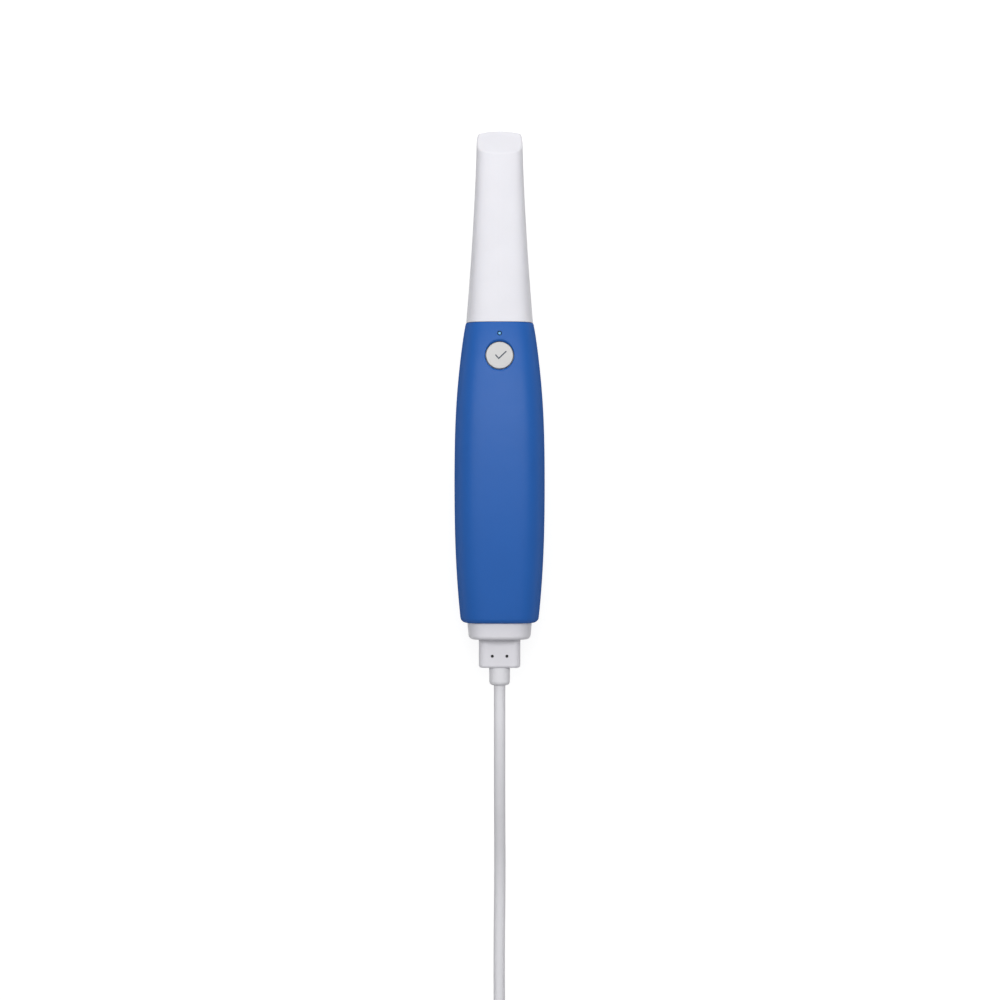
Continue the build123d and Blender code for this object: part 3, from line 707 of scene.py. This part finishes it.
@dataclass
class Cable:
    """The cord with its put-away hank, the strap that ties the hank and the contacts of both plugs.

    The hank's turns are given by column and layer: column 0 is the outer one, and layer 0 lies on
    the table. In the near fold, the first turn starts to move on at move_start of the way, each
    later one earlier by move_earlier, and each takes move_share of the way for it. On the strap,
    the places along its flat top are shares of half of that top.
    """

    materials: Materials
    diameter: float = 5.6 * MM
    length: float = 2.08
    lead_route: tuple[Point, ...] = (
        (0.0, -0.14665, 0.0254),
        (0.0, -0.17265, 0.0254),
        (0.0, -0.20665, 0.01575),
        (0.0002, -0.24265, 0.0028),
        (-0.0003, -0.28465, 0.0028),
        (0.0, -0.32265, 0.0028),
    )
    entry_points: int = 3
    bevel_steps: int = 6
    spline_steps: int = 6
    spline_order: int = 3

    hank_side: float = -22.4 * MM
    lobe_near: float = -335.85 * MM
    lobe_far: float = -397.45 * MM
    fold_radius: float = 25.2 * MM
    waist_half: float = 11.2 * MM
    neck_reach: float = 8.6 * MM
    lobe_opening: float = 35.0
    lobe_points: int = 11
    turns: tuple[tuple[int, int], ...] = (
        (0, 0), (1, 0), (1, 1), (0, 1), (0, 2), (1, 2), (0, 3), (1, 3)
    )
    move_start: float = 0.44
    move_earlier: float = 0.073
    move_share: float = 0.36
    tail_end: float = -377.05 * MM
    tie_raise: float = 1.2 * MM

    strap_width: float = 14.0 * MM
    strap_thickness: float = 1.2 * MM
    strap_corner: float = 2.0 * MM
    strap_start: float = -0.5
    strap_turn: float = 0.9
    strap_end: float = 0.75
    strap_rise: float = 0.35
    strap_squareness: float = 0.35
    strap_sides: int = 24
    strap_points: tuple[int, int, int] = (12, 7, 16)

    plug_wall: float = 0.5 * MM
    plug_contacts: int = 9
    usb_wall: float = 0.3 * MM
    usb_contacts: int = 12
    usb_round: float = 1.1 * MM

    def build(self) -> None:
        """Make the contacts of both plugs, the cord and its strap."""
        self.contacts("plug_shell", self.plug_wall, self.plug_wall, self.plug_contacts)
        self.contacts("usb_shell", self.usb_wall, self.usb_round, self.usb_contacts)
        self.cord()
        self.strap()

    def lobe(self, far: bool, columns: np.ndarray, layers: np.ndarray) -> np.ndarray:
        """Points round one fold of the hank, just outside the line that the spline then lies on.

        The points lie on an arc whose radius is that of the line over the cosine of half a step.

        Args:
            far: The fold away from the wand.
            columns: Place of each point between the outer column at 0 and the inner one at 1.
            layers: Layer of each point, counted from 0 at the table.

        Returns:
            The points, rows by three.
        """
        ends = (180 + self.lobe_opening, -self.lobe_opening)
        sweep = np.radians(np.linspace(*ends, self.lobe_points))
        swell = 1 / math.cos(abs(sweep[1] - sweep[0]) / 2)
        radius = (self.fold_radius - (0.5 + columns) * self.diameter) * swell
        side = -1.0 if far else 1.0
        x = self.hank_side + side * radius * np.cos(sweep)
        y = (self.lobe_far if far else self.lobe_near) + side * radius * np.sin(sweep)
        z = (layers + 0.5) * self.diameter
        return np.stack([x, y, z], axis=-1)

    def neck(self, side: float, column: float, layer: float) -> np.ndarray:
        """Two points of a leg at the waist of the hank, under the strap.

        Args:
            side: 1 for the leg at +X, which runs away from the wand, and -1 for the other one,
                which comes back.
            column: 0 for the outer column and 1 for the inner one.
            layer: The layer, counted from 0 at the table.

        Returns:
            The points in the order of the cord, two by three.
        """
        middle = (self.lobe_near + self.lobe_far) / 2
        reach = side * self.neck_reach
        x = self.hank_side + side * (self.waist_half - (0.5 + column) * self.diameter)
        z = (layer + 0.5) * self.diameter + self.tie_raise
        return np.array([[x, middle + reach, z], [x, middle - reach, z]])

    def hank(self) -> np.ndarray:
        """Turns of the hank: down the leg at +X, round the far fold, back and round the near one.

        In the near fold the cord moves on to the column and layer of the next turn. Later turns
        move earlier, so that each one has left its place before the one below comes into it.

        Returns:
            The points, rows by three.
        """
        still = np.ones(self.lobe_points)
        runs = []
        for number, (column, layer) in enumerate(self.turns[:-1]):
            column_next, layer_next = self.turns[number + 1]
            runs.append(self.neck(1.0, column, layer))
            runs.append(self.lobe(True, column * still, layer * still))
            runs.append(self.neck(-1.0, column, layer))
            moved = self.moved_on(number)
            columns = column + (column_next - column) * moved
            layers = layer + (layer_next - layer) * moved
            runs.append(self.lobe(False, columns, layers))
        column, layer = self.turns[-1]
        tail = self.neck(1.0, column, layer)
        tail[1] = (tail[0, 0], self.tail_end, tail[0, 2] - self.tie_raise)
        return np.vstack([*runs, tail])

    def moved_on(self, number: int) -> np.ndarray:
        """Share of the way to the next turn's place, at each point of the near fold.

        Args:
            number: The turn, counted from 0. A later turn moves earlier.

        Returns:
            A smooth step from 0 to 1 for each point.
        """
        place = np.linspace(0, 1, self.lobe_points)
        start = max(0.0, self.move_start - self.move_earlier * number)
        return smooth_step((place - start) / self.move_share)

    def cord(self) -> None:
        """One open spline: the lead from the strain relief, the hank and the tail to the plug."""
        near = self.lobe(False, np.zeros(self.lobe_points), np.zeros(self.lobe_points))
        points = np.vstack([np.array(self.lead_route), near[-self.entry_points :], self.hank()])
        curve = bpy.data.curves.new("cord", "CURVE")
        curve.dimensions = "3D"
        curve.bevel_depth = self.diameter / 2
        curve.bevel_resolution = self.bevel_steps
        curve.resolution_u = self.spline_steps
        curve.use_fill_caps = True
        spline = curve.splines.new("NURBS")
        spline.points.add(len(points) - 1)
        spline.points.foreach_set("co", np.column_stack([points, np.ones(len(points))]).ravel())
        spline.order_u = self.spline_order
        spline.use_endpoint_u = True
        spline.use_smooth = True
        piece = bpy.data.objects.new("cord", curve)
        bpy.context.scene.collection.objects.link(piece)
        nodes = ("cord_lead", "cord_hank", "cord_tail")
        dress(piece, self.materials["cord_grey"], Body.CABLE, "cord_grey", *nodes)

    def contacts(self, shell: str, wall: float, corner: float, count: int) -> None:
        """Rows of contacts on the upper and the lower inside face of a plug's shell.

        Args:
            shell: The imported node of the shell.
            wall: Its wall.
            corner: How far the rows stay from its sides.
            count: Contacts in a row.
        """
        low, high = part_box(shell)
        span = (low.x + corner, high.x - corner)
        run = (low.y + CONTACT_SETBACK, high.y - CONTACT_SETBACK)
        grid = contact_rows(span, run, (low.z + wall, high.z - wall), count)
        piece = grid_object(shell + "_contacts", grid, close_columns=True)
        dress(piece, self.materials["contact_gold"], Body.CABLE, "steel")

    def strap_line(self, half: float, bottom: float, top: float) -> np.ndarray:
        """Line of the strap round the waist: a rounded box, with its end over its start.

        The line starts on top, goes once round and rises by one thickness, on a smooth step, to
        its end.

        Args:
            half: Half the width of the box.
            bottom: Its lowest height.
            top: Its height where the strap starts.

        Returns:
            The points in X and Z, rows by two.
        """
        corner = self.strap_corner
        flat = half - corner
        start_points, corner_points, end_points = self.strap_points
        quarter = np.linspace(0, np.pi / 2, corner_points)
        low, high = bottom + corner, top - corner
        arcs = []
        for number, centre in enumerate(((flat, high), (flat, low), (-flat, low), (-flat, high))):
            angle = np.pi / 2 - number * np.pi / 2 - quarter
            arcs.append(np.array(centre) + corner * np.stack([np.cos(angle), np.sin(angle)], -1))
        start_x = np.linspace(self.strap_start * flat, self.strap_turn * flat, start_points)
        start = np.stack([start_x, np.full(start_points, top)], -1)
        end_x = np.linspace(-self.strap_turn * flat, self.strap_end * flat, end_points)
        lift = smooth_step((end_x + self.strap_turn * flat) / (self.strap_rise * flat))
        end = np.stack([end_x, top + self.strap_thickness * lift], -1)
        return np.vstack([start, *arcs, end])

    def squared_off(self, wave: np.ndarray) -> np.ndarray:
        """Raise a wave to a low power, with its sign kept, so that a ring of it gets flat sides.

        Args:
            wave: Sines or cosines of the ring's angles.

        Returns:
            The flattened wave.
        """
        return np.sign(wave) * np.abs(wave) ** self.strap_squareness

    def strap(self) -> None:
        """Hook-and-loop strap round the waist: a flat ring carried along its line.

        At both ends the ring closes to its middle.
        """
        low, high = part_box("cord_tie")
        half_thickness = self.strap_thickness / 2
        half = (high.x - low.x - self.strap_thickness) / 2
        line = self.strap_line(half, low.z + half_thickness, high.z - half_thickness)
        heading = np.gradient(line, axis=0)
        heading /= np.linalg.norm(heading, axis=1)[:, None]
        outward = np.stack([-heading[:, 1], heading[:, 0]], -1)
        ring = np.linspace(0, 2 * np.pi, self.strap_sides, endpoint=False)
        wide = self.squared_off(np.cos(ring)) * self.strap_width / 2
        thick = self.squared_off(np.sin(ring)) * half_thickness
        grid = np.zeros((len(line), len(ring), 3))
        grid[..., 0] = (low.x + high.x) / 2 + line[:, :1] + outward[:, :1] * thick
        grid[..., 1] = (low.y + high.y) / 2 + wide
        grid[..., 2] = line[:, 1:] + outward[:, 1:] * thick
        caps = grid[[0, -1]].mean(axis=1, keepdims=True) + 0.0 * grid[[0, -1]]
        grid = np.concatenate([caps[:1], grid, caps[1:]])
        piece = grid_object("hank_strap", grid, close_columns=True)
        dress(piece, self.materials["tie_black"], Body.CABLE, "tie_black", "cord_tie")


@dataclass(frozen=True)
class Lamp:
    """One soft box that points at its aim, with a width across the wand and a depth along it."""

    name: str
    place: Point
    width: float
    depth: float
    power: float
    aim: Point = (0.0, 0.0, 25.4 * MM)

    def build(self) -> None:
        """Hang the lamp in the scene."""
        data = bpy.data.lights.new(self.name, "AREA")
        data.shape = "RECTANGLE"
        data.size = self.width
        data.size_y = self.depth
        data.energy = self.power
        lamp = bpy.data.objects.new(self.name, data)
        lamp.location = self.place
        heading = Vector(self.aim) - Vector(self.place)
        lamp.rotation_euler = heading.to_track_quat("-Z", "Y").to_euler()
        bpy.context.scene.collection.objects.link(lamp)


@dataclass
class Studio:
    """Camera, lamps and white table of the picture.

    The scale of the picture holds at side_height, where the wand is widest. picture_middle is the
    place along the wand that the camera stands over. The table shows its paint under the lamps
    and, to a ray that shows the background, also its glow: together they come to white.
    """

    frame_pixels: int = 1000
    metres_per_pixel: float = 0.4875 * MM
    middle_of_wand_pixel: float = 499.6
    picture_middle: float = -56.4 * MM
    side_height: float = 25.4 * MM
    camera_distance: float = 1.3
    sensor: float = 36.0
    nearest: float = 0.05
    lamps: tuple[Lamp, ...] = (
        Lamp("key", place=(0.0, 0.23, 1.20), width=3.00, depth=0.40, power=12.0),
        Lamp("overhead", place=(0.0, 0.08, 0.80), width=1.40, depth=1.40, power=2.4),
        Lamp("tip_light", place=(0.0, 0.60, 0.36), width=0.35, depth=0.35, power=1.55),
    )
    world_tint: Colour = (0.97, 0.98, 1.0)
    world_strength: float = 0.24
    white: Colour = (1.0, 1.0, 1.0)
    table_half: float = 6.0
    table_points: int = 9
    table_paint: Colour = (0.34, 0.34, 0.34)
    table_glow: float = 0.80

    def build(self) -> None:
        """Set up everything round the object."""
        self.camera()
        for lamp in self.lamps:
            lamp.build()
        self.world()
        self.table()
        bpy.context.scene.view_settings.view_transform = "Standard"

    def camera(self) -> None:
        """Look straight down, with the wand's sides at the picture's scale."""
        off_middle = self.frame_pixels / 2 - self.middle_of_wand_pixel
        data = bpy.data.cameras.new("camera")
        data.sensor_width = self.sensor
        data.lens = self.sensor * self.camera_distance / (self.frame_pixels * self.metres_per_pixel)
        data.clip_start = self.nearest
        camera = bpy.data.objects.new("camera", data)
        x = off_middle * self.metres_per_pixel
        camera.location = (x, self.picture_middle, self.side_height + self.camera_distance)
        bpy.context.scene.collection.objects.link(camera)
        bpy.context.scene.camera = camera

    @staticmethod
    def seen_directly(tree: Tree) -> Socket:
        """Tell rays from the camera, a reflection or through glass from those that carry light.

        Args:
            tree: The node tree to add to.

        Returns:
            1 for a ray that shows the background, else 0.
        """
        path = tree.nodes.new("ShaderNodeLightPath")
        value = path.outputs["Is Camera Ray"]
        for name in ("Is Glossy Ray", "Is Transmission Ray"):
            either = tree.nodes.new("ShaderNodeMath")
            either.operation = "MAXIMUM"
            tree.links.new(value, either.inputs[0])
            tree.links.new(path.outputs[name], either.inputs[1])
            value = either.outputs["Value"]
        return value

    def world(self) -> None:
        """White to look at, and an even dim light on the object."""
        world = bpy.data.worlds.new("studio")
        world.use_nodes = True
        tree = world.node_tree
        tree.nodes.clear()
        shown = tree.nodes.new("ShaderNodeBackground")
        shown.inputs["Color"].default_value = (*self.white, 1.0)
        light = tree.nodes.new("ShaderNodeBackground")
        light.inputs["Color"].default_value = (*self.world_tint, 1.0)
        light.inputs["Strength"].default_value = self.world_strength
        mix = tree.nodes.new("ShaderNodeMixShader")
        output = tree.nodes.new("ShaderNodeOutputWorld")
        tree.links.new(self.seen_directly(tree), mix.inputs["Fac"])
        tree.links.new(light.outputs["Background"], mix.inputs[1])
        tree.links.new(shown.outputs["Background"], mix.inputs[2])
        tree.links.new(mix.outputs["Shader"], output.inputs["Surface"])
        bpy.context.scene.world = world

    def table(self) -> None:
        """Wide flat table, white to look at except for the soft shadow under the object."""
        span = np.linspace(-self.table_half, self.table_half, self.table_points)
        x, y = np.meshgrid(span, span, indexing="ij")
        table = grid_object("table", np.stack([x, y, np.zeros_like(x)], axis=-1))
        material = bpy.data.materials.new("table_white")
        material.use_nodes = True
        tree = material.node_tree
        tree.nodes.clear()
        paint = tree.nodes.new("ShaderNodeBsdfDiffuse")
        paint.inputs["Color"].default_value = (*self.table_paint, 1.0)
        glow = tree.nodes.new("ShaderNodeEmission")
        glow.inputs["Color"].default_value = (*self.white, 1.0)
        weak = tree.nodes.new("ShaderNodeMath")
        weak.operation = "MULTIPLY"
        weak.inputs[1].default_value = self.table_glow
        tree.links.new(self.seen_directly(tree), weak.inputs[0])
        tree.links.new(weak.outputs["Value"], glow.inputs["Strength"])
        both = tree.nodes.new("ShaderNodeAddShader")
        output = tree.nodes.new("ShaderNodeOutputMaterial")
        tree.links.new(paint.outputs["BSDF"], both.inputs[0])
        tree.links.new(glow.outputs["Emission"], both.inputs[1])
        tree.links.new(both.outputs["Shader"], output.inputs["Surface"])
        table.data.materials.append(material)


def dress_packed_nodes(nodes: dict[str, bpy.types.Object], materials: Materials) -> None:
    """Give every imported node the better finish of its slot.

    Args:
        nodes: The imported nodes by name.
        materials: The finishes by slot.
    """
    for node in nodes.values():
        for place in node.material_slots:
            place.material = materials[place.material.name]


def main() -> None:
    """Build the scanner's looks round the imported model."""
    logging.basicConfig(level=logging.INFO, format="%(name)s: %(message)s")
    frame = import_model()
    materials = {finish.slot: finish.build() for finish in FINISHES}
    dress_packed_nodes(frame["nodes"], materials)
    press_axis = {joint["name"]: joint["axis"] for joint in frame["joints"]}["button_press"]
    Studio().build()
    for assembly in (Cable(materials), Wand(materials), ScanButton(materials, press_axis)):
        assembly.build()


if __name__ == "__main__":
    main()
